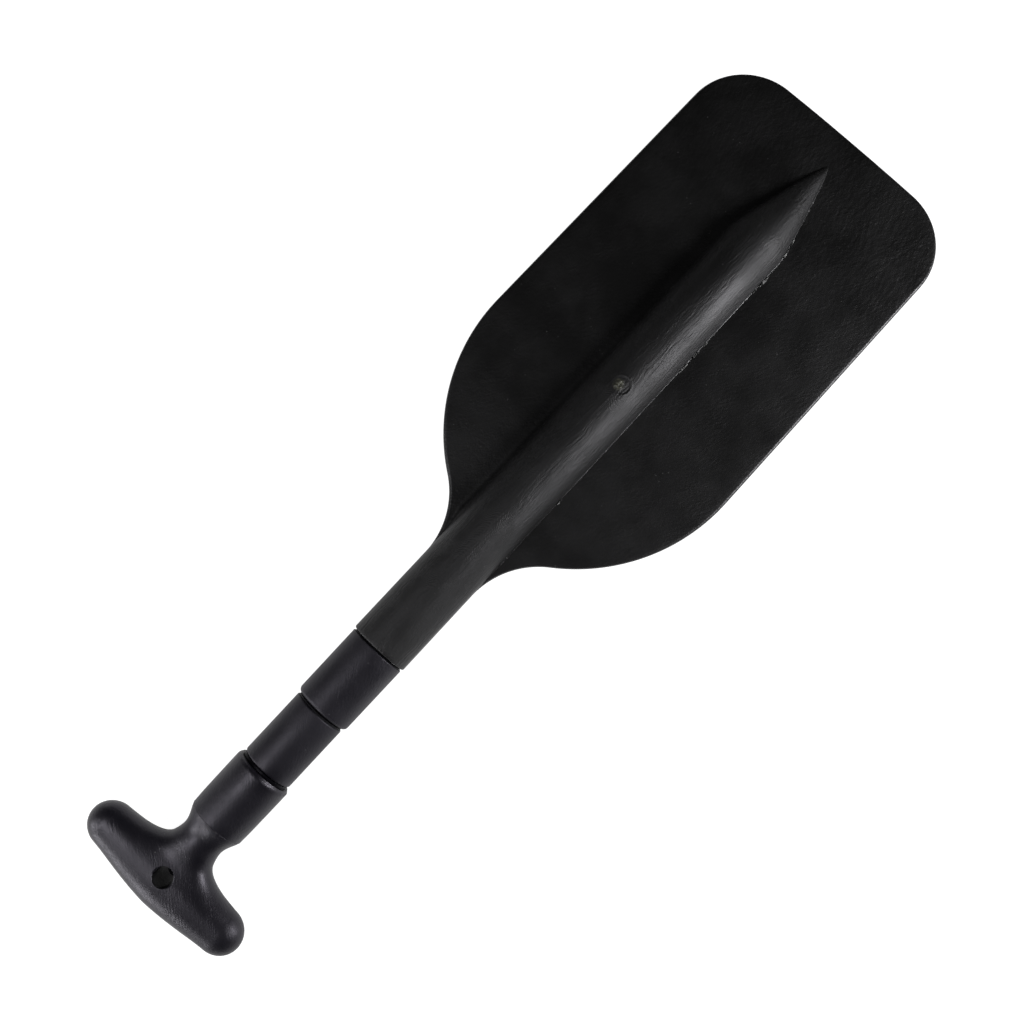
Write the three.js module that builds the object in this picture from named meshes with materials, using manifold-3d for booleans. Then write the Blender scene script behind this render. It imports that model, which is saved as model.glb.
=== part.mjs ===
// Telescoping single-blade paddle, shown collapsed, with a T-grip and three twist-lock tubes.
//
// Units are millimetres. X runs along the shaft, from the T-grip at -X to the blade's tip at +X,
// Y runs across the blade, and Z stands out of the blade's face. The paddle lies on its spine, on Z = 0.
//
// Every piece is made about the shaft's own axis, and one group lifts them all to the height at which
// the spine rests on the ground.

import * as THREE from 'three';
import { mergeVertices } from 'three/addons/utils/BufferGeometryUtils.js';
import Module from 'manifold-3d';

const wasm = await Module();
wasm.setup();

// ---- Driving dimensions ---------------------------------------------------------------------

const INCH = 25.4;
const COLLAPSED_LENGTH = 20 * INCH;

const FACE_GAP = 0.3; // between faces that meet end to end
const SIDE_GAP = 0.3; // between a bore and what sits or runs in it, on the radius

const ROUND_SEGMENTS = 48; // tubes, collars and bores
const LOCK_SEGMENTS = 32;
const SCREW_SEGMENTS = 20;
const GRIP_SEGMENTS = 28;

// Blade, with its socket and its spine
const BLADE_LENGTH = 351.3; // from the socket's mouth to the tip
const BLADE_WIDTH = 152;
const BLADE_THICKNESS = 3.6;
const TIP_CORNER_RADIUS = 34.6;
const TIP_BULGE = 0.5; // how far the tip edge bows out at its middle
const SHOULDER_RADIUS = 100;
const SHOULDER_TO_TIP = 186; // from where the sides turn parallel to the tip
const WEB_FILLET_RADIUS = 44; // where the blade's outline leaves the socket
const SPINE_RADIUS = 15.5;
const SPINE_POINT_TO_TIP = 19.2; // bare blade between the spine's point and the tip
const SPINE_TAPER_LENGTH = 56.5;
const SPINE_POINT_ROUND = 1.7; // exponent of the spine's section at its point: 2 is round, 1 is a ridge
const MOUTH_ROUND = 0.8;
const BORE_RADIUS = 13;
const BORE_DEPTH = 278;

// T-grip
const GRIP_HALF_WIDTH = 46.4;
const GRIP_ARM_HALF_DEPTH = 14.4; // along X, at the middle of the grip
const GRIP_ARM_END_HALF_DEPTH = 10.2; // along X, before the end rounds off
const GRIP_ARM_SWEEP = 0.4; // how far the arm's centre line has moved towards the blade at its ends
const GRIP_ARM_HALF_THICKNESS = 11;
const GRIP_ARM_END_HALF_THICKNESS = 9.6;
const GRIP_END_ROUND = 10.8;
const GRIP_SOCKET_RADIUS = 15;
const GRIP_WAIST_RADIUS = 11.1;
const GRIP_SOCKET_DEPTH = 33;
const LANYARD_HOLE_RADIUS = 5;
const LANYARD_HOLE_TO_BACK = 17.5;

// Tubes and their collars. Each stage slides in the one before it, and the first slides in the blade.
const TUBE_WALL = 1;
const COLLAR_LIP = 3; // the collar's end wall, which guides the next tube
const STAGES = [
  { name: 'outer', tubeRadius: 12.7, collarLength: 38.7, collarRadius: 14.9, collarRound: 2 },
  { name: 'middle', tubeRadius: 11.1, collarLength: 36, collarRadius: 13.5, collarRound: 1.2 },
  { name: 'inner', tubeRadius: 9.525 },
];

// Cam lock at the blade end of each tube
const PLUG_SHANK_LENGTH = 22;
const PLUG_FLANGE = 3;
const RING_LENGTH = 12;
const RING_SIDE_GAP = 0.35;
const RING_WALL = 2.8;
const RING_SLOT = 3;
const CAM_OFFSET = 0.4; // how far the plug's journal stands off the tube's axis
const JOURNAL_GAP = 0.65; // between the journal and the ring, on the radius
const WASHER_THICKNESS = 1;
const SCREW_HEAD_HEIGHT = 2.4;
const SCREW_HEAD_RADIUS = 3.6;
const SCREW_RADIUS = 1.9;
const SCREW_LENGTH = 16;
const SCREW_SLOT_WIDTH = 1;
const SCREW_SLOT_DEPTH = 1.2;
const LOCK_END_CLEARANCE = 4; // between the end of one lock and what lies beyond it when collapsed

// ---- Places along the shaft -------------------------------------------------------------------

const TIP_X = COLLAPSED_LENGTH / 2;
const GRIP_BACK_X = -COLLAPSED_LENGTH / 2;
const SOCKET_MOUTH_X = TIP_X - BLADE_LENGTH;
const SPINE_POINT_X = TIP_X - SPINE_POINT_TO_TIP;
const SPINE_TAPER_X = SPINE_POINT_X - SPINE_TAPER_LENGTH;
const LANYARD_HOLE_X = GRIP_BACK_X + LANYARD_HOLE_TO_BACK;
const LOCK_LENGTH = PLUG_FLANGE + RING_LENGTH + WASHER_THICKNESS + SCREW_HEAD_HEIGHT + 4 * FACE_GAP;

// The collars stand one behind the other from the blade's socket back to the T-grip.
let behind = SOCKET_MOUTH_X;
for (const stage of STAGES) {
  stage.frontX = behind - FACE_GAP;
  stage.backX = stage.frontX - (stage.collarLength ?? 0);
  behind = stage.backX;
}
const GRIP_MOUTH_X = STAGES[2].frontX;

// Each tube ends a little short of the plug in front of it.
let ahead = SOCKET_MOUTH_X + BORE_DEPTH;
let boreRadius = BORE_RADIUS;
for (const stage of STAGES) {
  stage.boreRadius = boreRadius;
  stage.tubeEndX = ahead - LOCK_END_CLEARANCE - LOCK_LENGTH;
  stage.tubeStartX = stage.backX + COLLAR_LIP + FACE_GAP;
  boreRadius = stage.tubeRadius - TUBE_WALL;
  ahead = stage.tubeEndX - PLUG_SHANK_LENGTH;
}
STAGES[2].tubeStartX = GRIP_MOUTH_X - GRIP_SOCKET_DEPTH + FACE_GAP;

// ---- Materials --------------------------------------------------------------------------------

const plastic = (color, roughness) => new THREE.MeshStandardMaterial({ color, roughness, metalness: 0 });
const metal = (color, roughness) => new THREE.MeshStandardMaterial({ color, roughness, metalness: 1 });

const BLADE_BLACK = plastic(0x1a1a1a, 0.6);
const GRIP_BLACK = plastic(0x252428, 0.5);
const COLLAR_BLACK = plastic(0x232226, 0.5);
const TUBE_ALUMINIUM = metal(0xb9bcc0, 0.35);
const LOCK_NYLON = plastic(0xd8d4c8, 0.5);
const LOCK_BLACK = plastic(0x202020, 0.5);
const STAINLESS = metal(0xa9abad, 0.3);

// ---- Solids -----------------------------------------------------------------------------------

// A closed geometry as a solid that can be joined and cut. Triangles with no area are left out.
function toSolid(geometry) {
  const bare = geometry.clone();
  bare.deleteAttribute('normal');
  bare.deleteAttribute('uv');
  const merged = mergeVertices(bare, 1e-4);
  const corners = [];
  for (let i = 0; i < merged.index.count; i += 3) {
    const [a, b, c] = [0, 1, 2].map((k) => merged.index.getX(i + k));
    if (a !== b && b !== c && c !== a) corners.push(a, b, c);
  }
  const vertProperties = Float32Array.from(merged.attributes.position.array);
  const triVerts = Uint32Array.from(corners);
  return new wasm.Manifold(new wasm.Mesh({ numProp: 3, vertProperties, triVerts }));
}

function toGeometry(solid) {
  const made = solid.getMesh();
  const geometry = new THREE.BufferGeometry();
  geometry.setAttribute('position', new THREE.BufferAttribute(Float32Array.from(made.vertProperties), 3));
  geometry.setIndex(new THREE.BufferAttribute(Uint32Array.from(made.triVerts), 1));
  geometry.computeVertexNormals();
  return geometry;
}

// A solid turned about the shaft's axis. Its profile is a list of [x, radius], from low x to high x
// along the outside; a profile that starts off the axis comes back along its bore to where it began.
function turned(profile, segments = ROUND_SEGMENTS) {
  const points = profile.map(([x, radius]) => new THREE.Vector2(radius, x));
  return toSolid(new THREE.LatheGeometry(points, segments).rotateZ(-Math.PI / 2));
}

function rod(radius, fromX, toX, segments = ROUND_SEGMENTS) {
  return turned([[fromX, 0], [fromX, radius], [toX, radius], [toX, 0]], segments);
}

function pipe(outerRadius, innerRadius, fromX, toX, segments = ROUND_SEGMENTS) {
  const outside = [[fromX, outerRadius], [toX, outerRadius]];
  const inside = [[toX, innerRadius], [fromX, innerRadius]];
  return turned([...outside, ...inside, outside[0]], segments);
}

function box(sizeX, sizeY, sizeZ, x, y, z) {
  return toSolid(new THREE.BoxGeometry(sizeX, sizeY, sizeZ).translate(x, y, z));
}

// A closed skin over a row of rings, each a list of the same number of points, with a flat end on the
// first and the last. The points of a ring turn anticlockwise as seen from the last ring's side.
function lofted(rings) {
  const count = rings[0].length;
  const positions = rings.flat().flatMap((p) => [p.x, p.y, p.z]);
  const corners = [];
  for (let r = 0; r + 1 < rings.length; r += 1) {
    for (let k = 0; k < count; k += 1) {
      const here = r * count + k;
      const next = r * count + ((k + 1) % count);
      corners.push(here, next, next + count, here, next + count, here + count);
    }
  }
  const lastRing = (rings.length - 1) * count;
  for (let k = 1; k + 1 < count; k += 1) {
    corners.push(0, k + 1, k);
    corners.push(lastRing, lastRing + k, lastRing + k + 1);
  }
  const geometry = new THREE.BufferGeometry();
  geometry.setAttribute('position', new THREE.Float32BufferAttribute(positions, 3));
  geometry.setIndex(corners);
  return toSolid(geometry);
}

// An oval of half sizes a and b: exponent 2 is an ellipse, below it the oval comes to points, and
// above it the oval grows square.
function oval(a, b, exponent, segments) {
  const power = 2 / exponent;
  const points = [];
  for (let k = 0; k < segments; k += 1) {
    const turn = (2 * Math.PI * k) / segments;
    const c = Math.cos(turn);
    const s = Math.sin(turn);
    points.push([a * Math.sign(c) * Math.abs(c) ** power, b * Math.sign(s) * Math.abs(s) ** power]);
  }
  return points;
}

// ---- Blade ------------------------------------------------------------------------------------

// The blade's outline in plan: out of the socket in a hollow arc, round the shoulder, along the
// parallel side, and round the corner to the tip's edge, then the same mirrored.
function bladeOutline() {
  const half = BLADE_WIDTH / 2;
  const shoulder = new THREE.Vector2(TIP_X - SHOULDER_TO_TIP, half - SHOULDER_RADIUS);
  const webY = SPINE_RADIUS + WEB_FILLET_RADIUS;
  const reach = SHOULDER_RADIUS + WEB_FILLET_RADIUS;
  const web = new THREE.Vector2(shoulder.x - Math.sqrt(reach ** 2 - (webY - shoulder.y) ** 2), webY);
  const meeting = Math.atan2(web.y - shoulder.y, web.x - shoulder.x);
  const cornerX = TIP_X - TIP_BULGE - TIP_CORNER_RADIUS;
  const cornerY = half - TIP_CORNER_RADIUS;

  const side = new THREE.Path();
  side.absarc(web.x, web.y, WEB_FILLET_RADIUS, -Math.PI / 2, meeting - Math.PI, false);
  side.absarc(shoulder.x, shoulder.y, SHOULDER_RADIUS, meeting, Math.PI / 2, true);
  side.absarc(cornerX, cornerY, TIP_CORNER_RADIUS, Math.PI / 2, 0, true);
  const upper = side.getPoints(10);
  const lower = upper.map((p) => new THREE.Vector2(p.x, -p.y)).reverse();
  return new THREE.Shape([...upper, new THREE.Vector2(TIP_X, 0), ...lower]);
}

// The socket and the spine are one round bar, which narrows to a point near the blade's tip.
function spine() {
  const stations = [
    [SOCKET_MOUTH_X, SPINE_RADIUS - MOUTH_ROUND],
    [SOCKET_MOUTH_X + 0.3 * MOUTH_ROUND, SPINE_RADIUS - 0.3 * MOUTH_ROUND],
    [SOCKET_MOUTH_X + MOUTH_ROUND, SPINE_RADIUS],
  ].map(([x, radius]) => ({ x, radius, exponent: 2 }));
  const steps = 10;
  for (let i = 0; i <= steps; i += 1) {
    const t = i / steps;
    stations.push({
      x: SPINE_TAPER_X + t * SPINE_TAPER_LENGTH,
      radius: THREE.MathUtils.lerp(SPINE_RADIUS, BLADE_THICKNESS / 2, t ** 1.15),
      exponent: THREE.MathUtils.lerp(2, SPINE_POINT_ROUND, t),
    });
  }
  return lofted(
    stations.map(({ x, radius, exponent }) =>
      oval(radius, radius, exponent, ROUND_SEGMENTS).map(([y, z]) => new THREE.Vector3(x, y, z)),
    ),
  );
}

function blade() {
  const settings = { depth: BLADE_THICKNESS, bevelEnabled: false };
  const plate = new THREE.ExtrudeGeometry(bladeOutline(), settings);
  plate.translate(0, 0, -BLADE_THICKNESS / 2);
  const bore = rod(BORE_RADIUS, SOCKET_MOUTH_X - 1, SOCKET_MOUTH_X + BORE_DEPTH);
  return toSolid(plate).add(spine()).subtract(bore);
}

// ---- T-grip -----------------------------------------------------------------------------------

// The cross bar, as rings along Y. It thins a little towards its ends, which are rounded off.
function gripArm() {
  const stations = [];
  const straight = GRIP_HALF_WIDTH - GRIP_END_ROUND;
  for (const y of [0, 0.35, 0.7]) stations.push({ y: y * straight, shrink: 1 });
  for (let i = 0; i <= 6; i += 1) {
    const turn = (Math.PI / 2) * (i / 6) * 0.94;
    stations.push({ y: straight + GRIP_END_ROUND * Math.sin(turn), shrink: Math.cos(turn) });
  }
  stations.at(-1).y = GRIP_HALF_WIDTH;
  const ring = ({ y, shrink }, side) => {
    const out = Math.min(y / straight, 1);
    const depth = THREE.MathUtils.lerp(GRIP_ARM_HALF_DEPTH, GRIP_ARM_END_HALF_DEPTH, out ** 1.6) * shrink;
    const thick = THREE.MathUtils.lerp(GRIP_ARM_HALF_THICKNESS, GRIP_ARM_END_HALF_THICKNESS, out) * shrink;
    const middle = GRIP_BACK_X + GRIP_ARM_HALF_DEPTH + GRIP_ARM_SWEEP * out;
    const outline = oval(depth, thick, 2.2, GRIP_SEGMENTS);
    return outline.map(([x, z]) => new THREE.Vector3(middle - x, side * y, z));
  };
  const left = stations.map((station) => ring(station, 1));
  const right = stations.slice(1).reverse().map((station) => ring(station, -1));
  return lofted([...right, ...left]);
}

// The neck flares out of the arm, narrows to a waist, and opens to the round socket. Each row is how far
// it lies behind the socket's mouth, its half width, and its half thickness.
function gripNeck() {
  const waist = GRIP_WAIST_RADIUS;
  const socket = GRIP_SOCKET_RADIUS;
  const rows = [
    [56, 30, 8.6],
    [54.4, 24, 9.7],
    [53.2, 19.2, 10.3],
    [51.2, 15, 10.6],
    [48.9, 12.9, 10.8],
    [46, 11.7, 11],
    [42, waist, waist],
    [39, waist + 0.2, waist + 0.2],
    [37, waist + 0.9, waist + 0.9],
    [35, waist + 2.2, waist + 2.2],
    [33.4, waist + 3, waist + 3],
    [31.5, socket - 0.55, socket - 0.55],
    [24, socket - 0.2, socket - 0.2],
    [2, socket, socket],
    [0.6, socket - 0.6, socket - 0.6],
    [0, socket - 1.8, socket - 1.8],
  ];
  return lofted(
    rows.map(([back, halfWidth, halfThickness]) =>
      oval(halfWidth, halfThickness, 2, GRIP_SEGMENTS).map(
        ([y, z]) => new THREE.Vector3(GRIP_MOUTH_X - back, y, z),
      ),
    ),
  );
}

function tGrip() {
  const tube = STAGES[2];
  const socket = rod(tube.tubeRadius + SIDE_GAP, GRIP_MOUTH_X - GRIP_SOCKET_DEPTH, GRIP_MOUTH_X + 1);
  const drill = new THREE.CylinderGeometry(LANYARD_HOLE_RADIUS, LANYARD_HOLE_RADIUS, 60, GRIP_SEGMENTS);
  const hole = toSolid(drill.rotateX(Math.PI / 2).translate(LANYARD_HOLE_X, 0, 0));
  return gripArm().add(gripNeck()).subtract(socket).subtract(hole);
}

// ---- Tubes and collars --------------------------------------------------------------------------

function tube(stage) {
  return pipe(stage.tubeRadius, stage.tubeRadius - TUBE_WALL, stage.tubeStartX, stage.tubeEndX);
}

// The collar sleeves over the tube's end, and its end wall guides the next tube.
function collar(stage, nextStage) {
  const { backX, frontX, collarRadius, collarRound } = stage;
  const sleeve = stage.tubeRadius + SIDE_GAP;
  const guide = nextStage.tubeRadius + SIDE_GAP;
  const start = [backX, collarRadius - 0.8 * collarRound];
  return turned([
    start,
    [backX + 0.3 * collarRound, collarRadius - 0.25 * collarRound],
    [backX + collarRound, collarRadius],
    [frontX - 0.5, collarRadius],
    [frontX, collarRadius - 0.5],
    [frontX, sleeve],
    [backX + COLLAR_LIP, sleeve],
    [backX + COLLAR_LIP, guide],
    [backX, guide],
    start,
  ]);
}

// ---- Cam locks ------------------------------------------------------------------------------------

// The plug fills the tube's end. Its journal stands off the axis, so turning the tube drives the split
// ring against the bore around it.
function lockSizes(stage) {
  const ringRadius = stage.boreRadius - RING_SIDE_GAP;
  return {
    flangeX: stage.tubeEndX + FACE_GAP,
    ringX: stage.tubeEndX + PLUG_FLANGE + 2 * FACE_GAP,
    washerX: stage.tubeEndX + PLUG_FLANGE + RING_LENGTH + 3 * FACE_GAP,
    headX: stage.tubeEndX + PLUG_FLANGE + RING_LENGTH + WASHER_THICKNESS + 4 * FACE_GAP,
    ringRadius,
    journalRadius: ringRadius - RING_WALL - JOURNAL_GAP - CAM_OFFSET,
  };
}

function camPlug(stage) {
  const { flangeX, ringX, journalRadius } = lockSizes(stage);
  const shankRadius = stage.tubeRadius - TUBE_WALL - SIDE_GAP;
  const shankX = stage.tubeEndX - PLUG_SHANK_LENGTH;
  const faceX = ringX + RING_LENGTH;
  const body = turned(
    [
      [shankX, 0],
      [shankX, shankRadius - 1],
      [shankX + 1, shankRadius],
      [flangeX, shankRadius],
      [flangeX, stage.tubeRadius],
      [flangeX + PLUG_FLANGE, stage.tubeRadius],
      [flangeX + PLUG_FLANGE, 0],
    ],
    LOCK_SEGMENTS,
  );
  const journal = rod(journalRadius, flangeX + PLUG_FLANGE - 1, faceX, LOCK_SEGMENTS);
  const pilot = rod(SCREW_RADIUS + SIDE_GAP, faceX - SCREW_LENGTH, faceX + 1, SCREW_SEGMENTS);
  return body.add(journal.translate([0, 0, CAM_OFFSET])).subtract(pilot);
}

function lockRing(stage) {
  const { ringX, ringRadius, journalRadius } = lockSizes(stage);
  const faceX = ringX + RING_LENGTH;
  const hole = rod(journalRadius + JOURNAL_GAP, ringX - 1, faceX + 1, LOCK_SEGMENTS);
  const slotX = (ringX + faceX) / 2;
  const slot = box(RING_LENGTH + 2, RING_SLOT, ringRadius, slotX, 0, -ringRadius / 2 - 1);
  return rod(ringRadius, ringX, faceX, LOCK_SEGMENTS)
    .subtract(hole.translate([0, 0, CAM_OFFSET]))
    .subtract(slot);
}

function lockWasher(stage) {
  const { washerX, ringRadius } = lockSizes(stage);
  const holeRadius = SCREW_RADIUS + SIDE_GAP;
  return pipe(ringRadius - 0.8, holeRadius, washerX, washerX + WASHER_THICKNESS, LOCK_SEGMENTS);
}

function lockScrew(stage) {
  const { headX } = lockSizes(stage);
  const shankEndX = headX - SCREW_LENGTH + FACE_GAP;
  const body = turned(
    [
      [shankEndX, 0],
      [shankEndX + 1.5, SCREW_RADIUS],
      [headX, SCREW_RADIUS],
      [headX, SCREW_HEAD_RADIUS],
      [headX + SCREW_HEAD_HEIGHT - 0.8, SCREW_HEAD_RADIUS - 0.2],
      [headX + SCREW_HEAD_HEIGHT, SCREW_HEAD_RADIUS - 1.3],
      [headX + SCREW_HEAD_HEIGHT, 0],
    ],
    SCREW_SEGMENTS,
  );
  const slotX = headX + SCREW_HEAD_HEIGHT;
  const reach = 1.3 * SCREW_HEAD_RADIUS;
  const slotA = box(2 * SCREW_SLOT_DEPTH, SCREW_SLOT_WIDTH, reach, slotX, 0, 0);
  const slotB = box(2 * SCREW_SLOT_DEPTH, reach, SCREW_SLOT_WIDTH, slotX, 0, 0);
  return body.subtract(slotA.add(slotB));
}

// ---- Assembly ---------------------------------------------------------------------------------------

const paddle = new THREE.Group();
paddle.position.z = SPINE_RADIUS;

function addPiece(name, solid, material) {
  const mesh = new THREE.Mesh(toGeometry(solid), material);
  mesh.name = name;
  paddle.add(mesh);
}

addPiece('blade', blade(), BLADE_BLACK);
addPiece('t_grip', tGrip(), GRIP_BLACK);

STAGES.forEach((stage, i) => {
  addPiece(`${stage.name}_tube`, tube(stage), TUBE_ALUMINIUM);
  if (i < 2) addPiece(`${stage.name}_collar`, collar(stage, STAGES[i + 1]), COLLAR_BLACK);
  addPiece(`${stage.name}_cam_plug`, camPlug(stage), LOCK_BLACK);
  addPiece(`${stage.name}_lock_ring`, lockRing(stage), LOCK_NYLON);
  addPiece(`${stage.name}_lock_washer`, lockWasher(stage), STAINLESS);
  addPiece(`${stage.name}_lock_screw`, lockScrew(stage), STAINLESS);
});

export default paddle;
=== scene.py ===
"""Telescoping single blade paddle: moulded black blade and T-grip, two collars, and the tubes inside.

Sizes in this file are millimetres unless a name says otherwise, and are turned to metres as each mesh
is made. Positions come from the frame. The shaft runs along X, and Z stands out of the blade's face.
"""

import math

import bmesh
import bpy
import numpy as np
from mathutils import Matrix, Vector, noise


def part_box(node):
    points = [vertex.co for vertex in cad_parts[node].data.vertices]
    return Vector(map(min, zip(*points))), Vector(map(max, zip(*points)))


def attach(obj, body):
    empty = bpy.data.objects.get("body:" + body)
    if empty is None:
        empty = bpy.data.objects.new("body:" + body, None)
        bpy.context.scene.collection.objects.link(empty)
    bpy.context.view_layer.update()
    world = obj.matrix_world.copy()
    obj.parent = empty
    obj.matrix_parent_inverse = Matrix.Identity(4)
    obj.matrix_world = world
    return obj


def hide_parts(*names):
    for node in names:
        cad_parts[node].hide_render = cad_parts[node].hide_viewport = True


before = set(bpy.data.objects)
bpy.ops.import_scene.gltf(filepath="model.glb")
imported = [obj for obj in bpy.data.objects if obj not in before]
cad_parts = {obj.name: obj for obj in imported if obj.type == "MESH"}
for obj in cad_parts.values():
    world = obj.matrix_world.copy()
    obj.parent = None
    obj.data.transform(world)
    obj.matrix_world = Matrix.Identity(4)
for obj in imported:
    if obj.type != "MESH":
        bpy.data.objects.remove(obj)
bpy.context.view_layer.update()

MM = 0.001


# ---- Where things are, from the frame ------------------------------------------------------------


def box_mm(node):
    """The lowest and highest corner of a frame node, in millimetres."""
    low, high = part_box(node)
    return low / MM, high / MM


BLADE_LOW, BLADE_HIGH = box_mm("blade")
GRIP_LOW, GRIP_HIGH = box_mm("t_grip")
AXIS_Z = (BLADE_LOW.z + BLADE_HIGH.z) / 2
SPINE_RADIUS = (BLADE_HIGH.z - BLADE_LOW.z) / 2
MOUTH_X = BLADE_LOW.x
TIP_X = BLADE_HIGH.x

# Blade
HALF_WIDTH = BLADE_HIGH.y
HALF_THICK = 1.8
EDGE_INSET = 1.5  # how far the rounding of the blade's edge reaches in
CORNER_RADIUS = 34.6
TIP_BULGE = 0.5
SHOULDER_RADIUS = 100
SHOULDER_X = TIP_X - 186
WEB_RADIUS = 44
SPINE_POINT_X = TIP_X - 19.2
TAPER_X = SPINE_POINT_X - 56.5
MOUTH_ROUND = 0.8
BORE_RADIUS = 13
BORE_DEPTH = 278
BORE_ROWS = 6  # the sections of the bore, which are round and true
GATE_X = TIP_X - 180.6  # where the plastic was fed in, on top of the spine
GATE_REACH = 6.5

# Collars, tubes and grip
TUBE_RADIUS = {"outer": 12.7, "middle": 11.1, "inner": 9.525}
TUBE_WALL = 1
RUNNING_GAP = 0.3
COLLAR_LIP = 3
LANYARD_HOLE_X = GRIP_LOW.x + 17.5
LANYARD_HOLE_RADIUS = 5
LANYARD_HOLE_TOP = 10.45  # how far above the shaft's axis its broken edge begins
LANYARD_HOLE_SLOPE = 0.085  # the slope of the bar's face there, in radians


# ---- Meshes --------------------------------------------------------------------------------------


def piece(name, points, faces, body, material, replaces=(), weld=False, angle=40):
    """A mesh in millimetres about the shaft's axis, made into a piece that rides on a body."""
    mesh = bpy.data.meshes.new(name)
    mesh.from_pydata([(x * MM, y * MM, (z + AXIS_Z) * MM) for x, y, z in points], [], faces)
    tidy = bmesh.new()
    tidy.from_mesh(mesh)
    if weld:
        bmesh.ops.remove_doubles(tidy, verts=tidy.verts, dist=2e-3 * MM)
        bmesh.ops.dissolve_degenerate(tidy, edges=tidy.edges, dist=1e-3 * MM)
    bmesh.ops.recalc_face_normals(tidy, faces=tidy.faces)
    tidy.to_mesh(mesh)
    tidy.free()
    made = bpy.data.objects.new(name, mesh)
    bpy.context.scene.collection.objects.link(made)
    finish_piece(made, body, material, replaces, angle)
    return made


def finish_piece(made, body, material, replaces=(), angle=40):
    """Shading, material and place in the frame of a piece whose mesh is whole."""
    made.data.shade_smooth()
    made.data.set_sharp_from_angle(angle=math.radians(angle))
    made.data.materials.clear()
    made.data.materials.append(material)
    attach(made, body)
    if replaces:
        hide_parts(*replaces)


def ring_faces(rings, count, closed_loop=False):
    """Quads between rings of count points each, and from the last back to the first in a closed loop."""
    faces = []
    for r in range(rings if closed_loop else rings - 1):
        here = r * count
        there = ((r + 1) % rings) * count
        for k in range(count):
            n = (k + 1) % count
            faces.append((here + k, here + n, there + n, there + k))
    return faces


def turned(profile, count):
    """Points and faces of a ring turned about the shaft. The profile, (x, radius), closes on itself."""
    turns = [2 * math.pi * k / count for k in range(count)]
    points = [(x, r * math.cos(t), r * math.sin(t)) for x, r in profile for t in turns]
    return points, ring_faces(len(profile), count, closed_loop=True)


def turned_solid(profile, count):
    """The same for a solid: the profile runs from one end to the other, and both ends are capped."""
    points, _faces = turned(profile, count)
    last = (len(profile) - 1) * count
    caps = [tuple(range(count)), tuple(range(last, last + count))]
    return points, ring_faces(len(profile), count) + caps


def arc(x, y, radius, start, end, steps):
    """Points of an arc, with its angles in degrees."""
    turns = [math.radians(start + (end - start) * i / steps) for i in range(steps + 1)]
    return [(x + radius * math.cos(t), y + radius * math.sin(t)) for t in turns]


def lerp(a, b, t):
    return a + (b - a) * t


def smooth(t):
    t = min(max(t, 0), 1)
    return t * t * (3 - 2 * t)


# ---- Blade ---------------------------------------------------------------------------------------

# One quarter of a cross-section runs from the ridge of the spine, down to the crease, through its fillet,
# across the flat blade and round its edge to the middle of its thickness. These are the steps of each.
RIDGE_STEPS = 16
FLANK_STEPS = 12
FILLET_STEPS = 8
FLAT_STEPS = 26
EDGE_STEPS = 6
RIDGE_SHARE = 0.3


def flank_turns(lowest):
    """Angles from the ridge, at 90 degrees, to the crease, closer together near the ridge."""
    span = math.pi / 2 - lowest
    near = [RIDGE_SHARE * i / RIDGE_STEPS for i in range(RIDGE_STEPS)]
    far = [lerp(RIDGE_SHARE, 1, i / FLANK_STEPS) for i in range(FLANK_STEPS + 1)]
    return [math.pi / 2 - span * share for share in near + far]


def round_section(x, radius):
    """A quarter of a plain circle, with its points where the blade's sections have theirs."""
    crease = math.asin(HALF_THICK / SPINE_RADIUS)
    edge = [math.pi / 2 * (1 - i / EDGE_STEPS) for i in range(1, EDGE_STEPS + 1)]
    turns = flank_turns(crease) + [crease] * (FILLET_STEPS + FLAT_STEPS)
    turns += [math.asin(HALF_THICK * math.sin(t) / SPINE_RADIUS) for t in edge]
    return [(x, radius * math.cos(t), radius * math.sin(t)) for t in turns]


def blade_section(x, radius, edge, fillet):
    """A quarter section with a spine of that radius at x. edge is the outline's point and its normal."""
    (edge_x, edge_y), (normal_x, normal_y) = edge
    thick = HALF_THICK
    room = edge_y - EDGE_INSET * normal_y - math.sqrt(max(radius**2 - thick**2, 0))
    rho = max(min(fillet, 0.6 * room, 0.35 * (radius - thick)), 0)
    lowest = math.asin(min((thick + rho) / (radius + rho), 1))
    points = [(x, radius * math.cos(t), radius * math.sin(t)) for t in flank_turns(lowest)]
    fillet_y = math.sqrt(max((radius + rho) ** 2 - (thick + rho) ** 2, 0))
    for i in range(1, FILLET_STEPS + 1):
        turn = lerp(lowest + math.pi, 1.5 * math.pi, i / FILLET_STEPS)
        points.append((x, fillet_y + rho * math.cos(turn), thick + rho + rho * math.sin(turn)))
    inner_x = edge_x - EDGE_INSET * normal_x
    inner_y = max(edge_y - EDGE_INSET * normal_y, fillet_y)
    for i in range(1, FLAT_STEPS + 1):
        t = i / FLAT_STEPS
        points.append((lerp(x, inner_x, t), lerp(fillet_y, inner_y, t), thick))
    for i in range(1, EDGE_STEPS + 1):
        turn = math.pi / 2 * (1 - i / EDGE_STEPS)
        inset = EDGE_INSET * (1 - math.cos(turn))
        z = thick * math.sin(turn)
        round_y = math.sqrt(max(radius**2 - z**2, 0)) if normal_x <= 0 else 0
        points.append((edge_x - inset * normal_x, max(edge_y - inset * normal_y, round_y), z))
    return points


SHOULDER_Y = HALF_WIDTH - SHOULDER_RADIUS
WEB_Y = SPINE_RADIUS + WEB_RADIUS
WEB_X = SHOULDER_X - math.sqrt((SHOULDER_RADIUS + WEB_RADIUS) ** 2 - (WEB_Y - SHOULDER_Y) ** 2)
WEB_END_X = lerp(SHOULDER_X, WEB_X, SHOULDER_RADIUS / (SHOULDER_RADIUS + WEB_RADIUS))
CORNER_X = TIP_X - TIP_BULGE - CORNER_RADIUS
CORNER_Y = HALF_WIDTH - CORNER_RADIUS


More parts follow.
